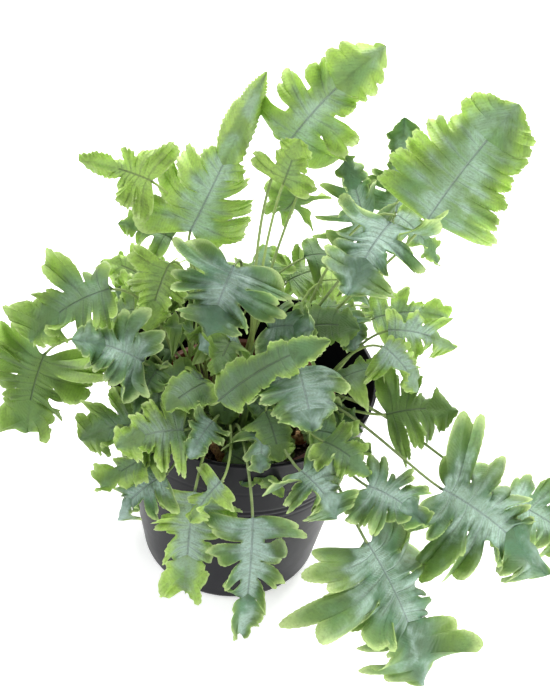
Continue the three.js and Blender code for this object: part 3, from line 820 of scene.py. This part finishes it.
# One row for each frond, in millimetres and degrees: the arm and share of its rhizome, where its blade starts
# and ends (turn, out from the planter's rim, height over it), across, roll, bow, rise, half width, pairs of
# lobes, kind and look. across is the heading of the blade's right side, roll tips the blade round its midrib,
# bow is how far the midrib bends as a share of its length, and rise is how far the stem climbs first.
habit = {
    "top_left": (2, 0.12, (145, -44, 103), (95, -53, 241), 0, 0, 0.08, 60, 64, 4, "lance", "fresh"),
    "back_left": (1, 0.8, (150, -12, 140), (155, 53, 139), 82, 45, 0.1, 60, 38, 4, "lance", "lime"),
    "top_centre": (1, 0.18, (74, -58, 184), (42, -3, 264), 320, -30, 0.15, 90, 60, 3, "star", "pale"),
    "under_top": (1, 0.05, (50, -86, 170), (49, -73, 205), 0, 0, 0.1, 80, 32, 2, "broad", "lime"),
    "behind_top": (1, 0.3, (72, -16, 122), (86, 22, 78), 180, 0, 0.35, 110, 34, 3, "narrow", "green"),
    "high_right": (0, 0.55, (9, 17, 150), (19, 83, 234), 320, -25, 0.1, 80, 62, 5, "scalloped", "pale"),
    "strap": (0, 0.85, (32, -9, 106), (46, -24, 175), 40, 10, 0.1, 50, 48, 3, "narrow", "blue"),
    "strap_back": (0, 0.95, (40, 33, 106), (47, 44, 185), 10, 0, 0.1, 60, 46, 3, "narrow", "teal"),
    "butterfly": (0, 0.2, (3, -11, 157), (328, -26, 122), 151, 0, 0.25, 80, 56, 3, "star", "frost"),
    "small_hang": (0, 0.45, (22, 2, 140), (12, 36, 104), 253, -20, 0.2, 60, 28, 2, "broad", "fresh"),
    "right_a": (0, 0.75, (19, -5, 41), (17, 61, 38), 283, -35, 0.2, 40, 34, 3, "narrow", "pale"),
    "right_b": (4, 1, (0, -2, 58), (2, 57, 42), 275, -30, 0.2, 40, 36, 3, "narrow", "fresh"),
    "right_c": (4, 0.9, (344, -2, 67), (341, 35, 38), 243, -20, 0.2, 40, 34, 2, "broad", "fresh"),
    "right_d": (0, 0.34, (2, -36, 66), (348, -22, 48), 203, -10, 0.25, 40, 30, 2, "broad", "blue"),
    "star": (3, 0.06, (256, -58, 143), (252, -24, 99), 172, 0, 0.2, 60, 62, 3, "star", "teal"),
    "blue_small": (4, 0.03, (292, -66, 80), (312, -35, 96), 248, -35, 0.15, 50, 36, 2, "broad", "teal"),
    "left_high": (1, 1, (141, -23, 83), (152, 20, 89), 82, 35, 0.15, 50, 28, 2, "narrow", "green"),
    "left_yellow": (2, 0.38, (172, -44, 94), (198, -30, 50), 158, 20, 0.2, 50, 34, 3, "broad", "lime"),
    "left_back_a": (2, 0.46, (140, 7, 22), (145, 57, 22), 68, 35, 0.2, 50, 36, 3, "broad", "spring"),
    "left_back_b": (2, 0.56, (155, -9, 18), (160, 36, -24), 75, 35, 0.2, 50, 34, 3, "narrow", "green"),
    "left": (2, 0.76, (186, -3, 79), (190, 62, 30), 104, 25, 0.2, 50, 52, 3, "broad", "green"),
    "far_left": (2, 0.86, (180, 54, -4), (188, 68, -75), 159, 15, 0.2, 90, 66, 4, "star", "olive"),
    "over_rim": (2, 0.97, (219, -14, 50), (209, 35, 73), 101, 35, 0.15, 40, 42, 3, "star", "teal"),
    "dark_inner": (2, 0.66, (165, -51, -2), (170, -12, -3), 83, 30, 0.2, 30, 34, 3, "narrow", "deep"),
    "pale_inner": (3, 0.26, (238, -55, 27), (235, -15, 43), 136, 10, 0.2, 20, 24, 2, "narrow", "pale"),
    "serrated": (3, 0.18, (262, -6, 57), (307, -7, 109), 282, -35, 0.15, 58, 23, 4, "scalloped", "green"),
    "serrated_low": (3, 0.72, (250, -34, 46), (243, 4, 42), 143, 10, 0.15, 40, 28, 2, "scalloped", "green"),
    "centre_right": (4, 0.28, (296, -18, 82), (294, 27, 59), 200, 0, 0.2, 50, 43, 3, "scalloped", "blue"),
    "front_star": (4, 0.2, (292, 25, 20), (298, 64, 2), 228, 0, 0.25, 60, 42, 3, "star", "blue"),
    "front_left_a": (3, 0.79, (250, -2, 24), (234, 36, 14), 112, 20, 0.2, 60, 38, 3, "broad", "fresh"),
    "front_left_b": (3, 0.64, (248, 16, -8), (238, 46, -50), 112, 20, 0.2, 95, 36, 3, "narrow", "frost"),
    "front_left_c": (3, 0.86, (259, 20, -10), (260, 40, -110), 175, 0, 0.15, 100, 44, 3, "broad", "pale"),
    "front_hang": (3, 1, (278, 36, -12), (277, 66, -117), 195, 0, 0.15, 100, 42, 4, "narrow", "frost"),
    "front_big": (4, 0.45, (305, 73, -20), (309, 150, -118), 234, 0, 0.15, 110, 88, 4, "star", "frost"),
    "right_big": (4, 0.6, (329, 77, -12), (333, 172, -64), 248, -15, 0.15, 110, 70, 4, "star", "teal"),
    "far_right": (4, 0.81, (345, 120, -56), (344, 187, -77), 253, -15, 0.15, 125, 50, 3, "broad", "blue"),
    "dark_rib": (4, 0.74, (336, 14, 14), (345, 67, 23), 279, -30, 0.15, 60, 44, 3, "broad", "deep"),
    "low_left_a": (3, 0.34, (234, -5, 12), (218, 40, -8), 95, 25, 0.15, 50, 42, 3, "broad", "green"),
    "low_left_b": (3, 0.5, (244, 6, 4), (231, 48, -30), 108, 15, 0.15, 70, 34, 3, "narrow", "green"),
    "green_stipe": (3, 0.9, (268, 21, 6), (260, 38, -28), 129, 0, 0.15, 80, 26, 2, "narrow", "pale"),
    "small_right": (4, 0.36, (302, 13, 31), (309, 52, 22), 238, -20, 0.2, 50, 30, 2, "broad", "green"),
    "blue_right": (4, 0.54, (309, 50, 10), (316, 94, -6), 251, -20, 0.2, 80, 44, 3, "star", "frost"),
    "inner_dark": (4, 0.12, (284, -54, -1), (296, -18, -15), 218, 0, 0.2, 40, 34, 3, "broad", "deep"),
    "small_upright": (3, 0.12, (224, -50, -2), (220, -36, 26), 132, 0, 0.1, 30, 20, 2, "broad", "green"),
    "back_a": (1, 0.45, (75, 30, 5), (75, 80, -80), 345, 0, 0.15, 80, 50, 3, "broad", "green"),
    "back_b": (1, 0.6, (103, 30, 5), (103, 80, -75), 13, 0, 0.15, 80, 52, 3, "broad", "green"),
    "back_c": (1, 0.92, (130, 35, 0), (130, 80, -70), 40, 0, 0.15, 80, 46, 3, "broad", "green"),
    "back_d": (0, 1.03, (46, 35, 0), (46, 85, -70), 316, 0, 0.15, 80, 48, 3, "narrow", "blue"),
}


def overRim(place):
    turn, out, up = np.radians(place[0]), place[1] * mm, place[2] * mm
    reach = (potHigh[0] - potLow[0]) / 2 + out
    return np.array([reach * np.cos(turn), reach * np.sin(turn), potHigh[2] + up])


def outline(u, length, half, pairs, cut, number, side):
    # Ray u starts at share `along` of the midrib, bends at the line of the sinuses (inner) and ends at the
    # margin (outer). Lobe k takes the rays from k to k + 1: its reach is a squarish bump of part, turned by
    # the lobe's angle and notched by a sine to the power 0.6. The end lobe, past the last pair, swells from
    # the line of the sinuses and closes at the tip.
    lobe = np.minimum(np.floor(u), pairs)
    part = u - lobe
    isCrown = lobe == pairs
    risen = np.minimum(u, pairs) / pairs
    sinus = half * cut["sinus"] * np.minimum(1, u / 0.4) * (1 - 0.3 * risen)
    crown, low, key = cut["crown"], frond["bladeStart"], 10 * (side + 2)
    along = np.where(isCrown, crown + (1 - crown) * part, low + (crown - low) * u / pairs)
    upward = lobe / (pairs - 1)
    middle = cut["first"] + (cut["last"] - cut["first"]) * upward + 8 * (chance(lobe + key, number) - 0.5)
    angle = np.radians(middle + cut["fan"] * (0.5 - part))
    lean = np.radians(84 + (cut["lean"] - 84) * risen)
    luck = chance(lobe + 5 + key, number)
    size = 0.8 + 0.2 * np.sin(np.pi * (0.3 + 0.6 * upward)) - cut["taper"] * upward - 0.2 * luck
    filled = np.minimum(1, np.abs(2 * part - 1) / (1 - cut["gap"]))
    openness = np.maximum(0, 1 - filled ** cut["square"]) ** 0.65
    phase = np.pi * chance(lobe + side, number + 50)
    ends = np.abs(np.sin(np.pi * cut["notches"] * part + phase)) ** 0.6
    reach = half * np.maximum(0.17, size - cut["sinus"]) * openness * (1 - cut["notch"] * (1 - ends))
    inner = np.stack([along * length + sinus * np.cos(lean), sinus * np.sin(lean)], -1)
    outer = inner + reach[:, None] * np.stack([np.cos(angle), np.sin(angle)], -1)
    bulge = np.sin(np.pi * np.clip(part, 0, 1) ** 0.85) ** 0.6
    crownEnds = np.abs(np.sin(np.pi * 4 * part + phase)) ** 0.6
    swell = half * cut["girth"] * bulge * (1 - 0.25 * part) * (1 - 1.2 * cut["notch"] * (1 - crownEnds))
    closing = sinus * (1 - part)
    crownInner = np.stack([along * length + closing * np.cos(lean), closing * np.sin(lean)], -1)
    crownOuter = crownInner + np.stack([0 * swell, swell], -1)
    pick = isCrown[:, None]
    return {
        "along": along, "lobe": lobe, "part": part, "isCrown": isCrown,
        "open": np.where(isCrown, bulge, openness),
        "inner": np.where(pick, crownInner, inner), "outer": np.where(pick, crownOuter, outer),
    }


def evenRays(length, half, pairs, cut, number, spacing):
    # rays that cut the margin into even steps
    dense = np.linspace(0.02, pairs + 0.985, 5000)
    walked = np.zeros(len(dense))
    for side in (-1, 1):
        margin = outline(dense, length, half, pairs, cut, number, side)["outer"]
        walked[1:] += np.cumsum(np.linalg.norm(np.diff(margin, axis=0), axis=1)) / 2
    rows = int(np.clip(walked[-1] / spacing, 50, 480))
    return np.interp(np.linspace(0, walked[-1], rows), walked, dense)


def addFrond(mesh, row, number):
    # A blade is a grid: u runs along the margin and v out to it, on rays that bend once (a quadratic Bezier).
    # The grid is laid on the bowed midrib and lifted by waves. Stem and midrib are round tubes under it.
    arm, share, neck, tip, across, roll, bow, rise, halfWidth, pairs, kindName, look = row
    f, cut = frond, kinds[kindName]
    half = halfWidth * mm
    flutter = min(half, f["flutterLimit"])
    foot = alongArm(arm, share, footHeight)
    start, end = overRim(neck), overRim(tip)
    chord = end - start
    hint = np.array([np.cos(np.radians(across)), np.sin(np.radians(across)), 0])
    bowed = unit(np.cross(hint, chord))
    middle = (start + end) / 2 + bowed * bow * np.linalg.norm(chord)
    midrib = Path([start, middle, end])
    length = midrib.length
    tone = np.array(looks[look]) * (0.75 + 0.5 * chance(np.arange(3) + 40, number))

    def place(x, y, lift):
        # along the bent midrib, across it and off it; past the tip it carries straight on
        t = np.clip(x / length, 0, 1)
        ahead = midrib.direction(t)
        right = unit(hint - (ahead @ hint)[..., None] * ahead)
        up = np.cross(right, ahead)
        c, s = np.cos(np.radians(roll)), np.sin(np.radians(roll))
        return (midrib.point(t) + ahead * (x - t * length)[..., None]
                + (right * c + up * s) * y[..., None] + (up * c - right * s) * lift[..., None])

    def at(x, lift):
        return place(np.array([x]), np.array([0.0]), np.array([lift]))[0]

    u = evenRays(length, half, pairs, cut, number, f["toothPitch"] / f["toothRows"])
    tooth = np.array([0.0, 0.6, 1.0])[np.arange(len(u)) % f["toothRows"]]
    sheets, fields = [], []
    v = np.linspace(0, 1, f["columns"] + 1) ** 0.85
    for side in (-1, 1):
        ray = outline(u, length, half, pairs, cut, number, side)
        along = np.gradient(ray["outer"], axis=0)
        normal = unit(np.stack([-along[:, 1], along[:, 0]], -1))
        atTip = smooth(pairs + 0.9, pairs + 0.98, u)
        fade = smooth(0.25, 0.6, ray["open"]) * smooth(0.1, 0.5, u) * (1 - atTip)
        outer = ray["outer"] + normal * (cut["tooth"] * mm * tooth * fade)[:, None]
        rib = np.stack([ray["along"] * length, np.zeros(len(u))], -1)
        a, b = v[None, :, None], 1 - v[None, :, None]
        flat = b * b * rib[:, None] + 2 * a * b * ray["inner"][:, None] + a * a * outer[:, None]
        x, y = flat[..., 0], flat[..., 1]

        # How far the blade is lifted: cupped by the square of y, then each lobe curls and twists by its own
        # chance, more towards its end, and its edges cup. Two slow sines multiplied swing the blade, a third
        # ripples it, and a wave that runs along the margin ruffles it. The midrib lies in a groove.
        free = (v[None, :] ** 2 * ray["open"][:, None]) ** 2 * flutter
        curl = f["curl"] * (chance(ray["lobe"] + 3 + 20 * (side + 2), number) - 0.6)
        twist = f["twist"] * (chance(ray["lobe"] + 7 + 20 * (side + 2), number) - 0.5)
        lift = -f["cup"] * half * (y / half) ** 2 + free * (curl + twist * (ray["part"] - 0.5))[:, None]
        lift += f["lobeCup"] * half * (np.abs(2 * ray["part"] - 1) * ray["open"])[:, None] * v[None, :]
        bend = 6.28 * chance(np.array([11, 12, 13]), number)
        swing = np.sin(3.1 * x / half + bend[0]) * np.sin(2.6 * side * y / half + bend[1])
        ripple = np.sin(5.2 * (x + side * y) / half + bend[2]) * v[None, :]
        lift += flutter * (f["swing"] * swing * smooth(0, 0.4, y / half) + f["ripple"] * ripple)
        phase = 6.28 * chance(side + 9, number)
        wave = np.sin(2 * np.pi * 0.85 * u + phase) + 0.4 * np.sin(2 * np.pi * 2.3 * u + 2 * phase)
        outwards = v[None, :] ** 2.4 * (0.25 + 0.75 * ray["open"][:, None])
        lift += cut["ruffle"] * flutter * wave[:, None] * outwards
        lift += f["groove"] * (1 - np.exp(-(y / f["grooveWidth"]) ** 2)) - 0.5 * mm

        lobeHalf = (cut["crown"] - f["bladeStart"]) / pairs * length / 2
        aside = np.where(ray["isCrown"], 0.6, np.abs(2 * ray["part"] - 1)) * lobeHalf
        past = np.where(ray["isCrown"], 0.7 * (ray["along"] * length), 0)
        out = np.hypot(x - rib[:, :1], y) + past[:, None]
        sheets.append((x, side * y, lift))
        asides, shares = np.broadcast_to(aside[:, None], x.shape), np.broadcast_to(v, x.shape)
        fields.append(np.stack([asides, out, shares], -1))

    # columns run from the left margin over the midrib to the right margin
    x, y, lift = (np.concatenate([sheets[0][k][:, :0:-1], sheets[1][k]], 1) for k in range(3))
    field = np.concatenate([fields[0][:, :0:-1], fields[1]], 1)
    toMargin = np.abs(np.linspace(-1, 1, x.shape[1]))
    thick = f["thickness"] * (1 - 0.75 * toMargin ** 3) / 2
    top, under = place(x, y, lift + thick), place(x, y, lift - thick)
    rings = np.concatenate([top, under[:, ::-1]], 1)
    points, faces = sleeve(rings, at(0.0, -0.4 * mm), at(length, -0.4 * mm))
    vein = np.concatenate([np.concatenate([field, field[:, ::-1]], 1).reshape(-1, 3), [[0, 0, 0], [0, 0, 1]]])
    mesh.add(points, faces, 0, vein=vein, tone=tone)

    def addTube(path, ways, turnedFrom, radii, sides, low, high):
        # a round tube whose place on the way from the foot to the tip goes from low to high
        points, faces = stalk(path, ways, turnedFrom, radii, sides)
        rows = len(path)
        way = np.interp(np.arange(len(points)) // sides, np.arange(rows), t)
        vein = np.zeros((len(points), 3))
        vein[:, 2] = low + (high - low) * way
        mesh.add(points, faces, 1, vein=vein, tone=tone)

    # the stem, and the midrib that it runs on into, which thins out to the tip
    way = midrib.direction(np.array([0.0]))[0]
    stemEnd = at(0.0, -f["stemSink"]) + way * f["stemOverlap"]
    reach = np.linalg.norm(stemEnd - foot)
    stemPath = Path([foot, foot + [0, 0, rise * mm], stemEnd - way * 0.25 * reach, stemEnd])
    t = np.linspace(0, 1, f["stemRows"])
    upright = np.cross([0, 0, 1.0], stemEnd - foot) + 0.01 * hint * mm
    radii = f["stemRadius"] * (0.95 - 0.25 * t) * (0.75 + 0.25 * min(1, halfWidth / 45))
    addTube(stemPath.point(t), stemPath.direction(t), unit(upright), radii, f["stemSides"], 0, 0.5)
    t = np.linspace(0, 0.97, f["ribRows"])
    ribRadius = radii[-1] * (1 - 0.75 * t ** 0.7)
    middleLine = place(t * length, np.zeros(len(t)), -0.6 * mm - 0.9 * ribRadius)
    addTube(middleLine, midrib.direction(t), hint, ribRadius, f["ribSides"], 0.5, 1)


def slotFor(look):
    # the painted-shade look goes to the dark green slot
    slots = {"deep": "frond_dark_green"}
    slots.update(dict.fromkeys(("lime", "olive", "pale"), "frond_yellow_green"))
    return slots.get(look, "frond_blue_green")


def makeFronds():
    for number, (name, row) in enumerate(habit.items()):
        mesh = Mesh()
        addFrond(mesh, row, number)
        mesh.build(f"{name}_leaf", [blade, stem], slotFor(row[-1]), f"frond_{name}", sharp=70)


makeFronds()
print("fronds are grown")


# Small fronds that fill the pot between the big ones: where each patch is (turn, out and up, in pairs of
# limits), how many grow there and how they look, in turn.
# the darkest look paints shade on these small fronds low in the pot
patches = {
    "left": {
        "turn": (214, 244), "out": (-50, -14), "up": (-4, 40), "count": 6,
        "looks": "green deep blue deep",
    },
    "front": {
        "turn": (240, 300), "out": (-62, -12), "up": (-12, 36), "count": 11,
        "looks": "green deep deep blue",
    },
    "right": {
        "turn": (296, 334), "out": (-48, -6), "up": (-4, 46), "count": 6,
        "looks": "blue green deep deep",
    },
    "middle": {
        "turn": (205, 345), "out": (-92, -58), "up": (4, 74), "count": 9,
        "looks": "deep green teal deep",
    },
    "back": {
        "turn": (30, 165), "out": (-45, 5), "up": (8, 72), "count": 10,
        "looks": "green lime deep green",
    },
}


def makeUndergrowth():
    rng = np.random.default_rng(21)
    number = 100
    for name, patch in patches.items():
        mesh = Mesh()
        for i in range(patch["count"]):
            spread = (i + rng.uniform(0.2, 0.8)) / patch["count"]
            turn = patch["turn"][0] + (patch["turn"][1] - patch["turn"][0]) * spread
            out, up = rng.uniform(*patch["out"]), rng.uniform(*patch["up"])
            half = rng.uniform(22, 34)
            ahead = half * rng.uniform(1.2, 1.5)
            heading = turn + rng.uniform(-25, 25)
            tip = (heading, out + ahead, up + rng.uniform(-22, 12))
            arm = round((turn - 25) / 72 % 5) % 5      # the rhizome that lies nearest
            share, roll, pairs = rng.uniform(0.1, 0.95), rng.uniform(-25, 25), int(rng.integers(2, 4))
            rise = 35 + 0.4 * max(up, 0)
            kind, look = ("broad", "narrow", "scalloped")[i % 3], patch["looks"].split()[i % 4]
            row = (arm, share, (turn, out, up), tip, heading - 90, roll, 0.22, rise, half, pairs, kind, look)
            addFrond(mesh, row, number)
            number += 1
        mesh.build(f"undergrowth_{name}", [blade, stem], "frond_blue_green", sharp=70)


makeUndergrowth()
print("undergrowth is filled in")


crosiers = {
    "crosier_1": {"arm": 2, "share": 0.28, "height": 40 * mm, "coil": 6 * mm},
    "crosier_2": {"arm": 0, "share": 0.06, "height": 26 * mm, "coil": 5 * mm},
}


def makeCrosier(name, c):
    # a stem that rises and rolls in on itself: radius and thickness shrink as the angle grows
    foot = alongArm(c["arm"], c["share"], footHeight)
    turn = np.radians(360 * c["arm"] / rhizome["arms"] + 90)
    side = np.array([np.cos(turn), np.sin(turn), 0])
    rise = np.linspace(0, 1, 20)[:, None]
    stalkPath = foot + rise * np.array([0, 0, c["height"]]) + [0, 0, -0.5 * mm]
    angle = np.linspace(0.15, 2.3 * np.pi, 60)[:, None]
    radius = c["coil"] * (1 - 0.62 * angle / (2.3 * np.pi))
    across = side * (c["coil"] - radius * np.cos(angle))
    coil = foot + [0, 0, c["height"]] + across + np.array([0, 0, 1.0]) * radius * np.sin(angle)
    path = np.concatenate([stalkPath, coil])
    radii = np.linspace(1.5, 0.8, len(path)) * mm
    mesh = Mesh()
    points, faces = stalk(path, unit(np.gradient(path, axis=0)), np.cross(side, [0, 0, 1.0]), radii, 10)
    vein = np.zeros((len(points), 3))
    vein[:, 2] = 0.4
    mesh.add(points, faces, 0, vein=vein, tone=(0.8, 0.1, 0))
    mesh.build(f"{name}_young_frond", [stem], "frond_yellow_green", name, sharp=80)


for crosierName, crosierSizes in crosiers.items():
    makeCrosier(crosierName, crosierSizes)
print("young fronds are rolled up")
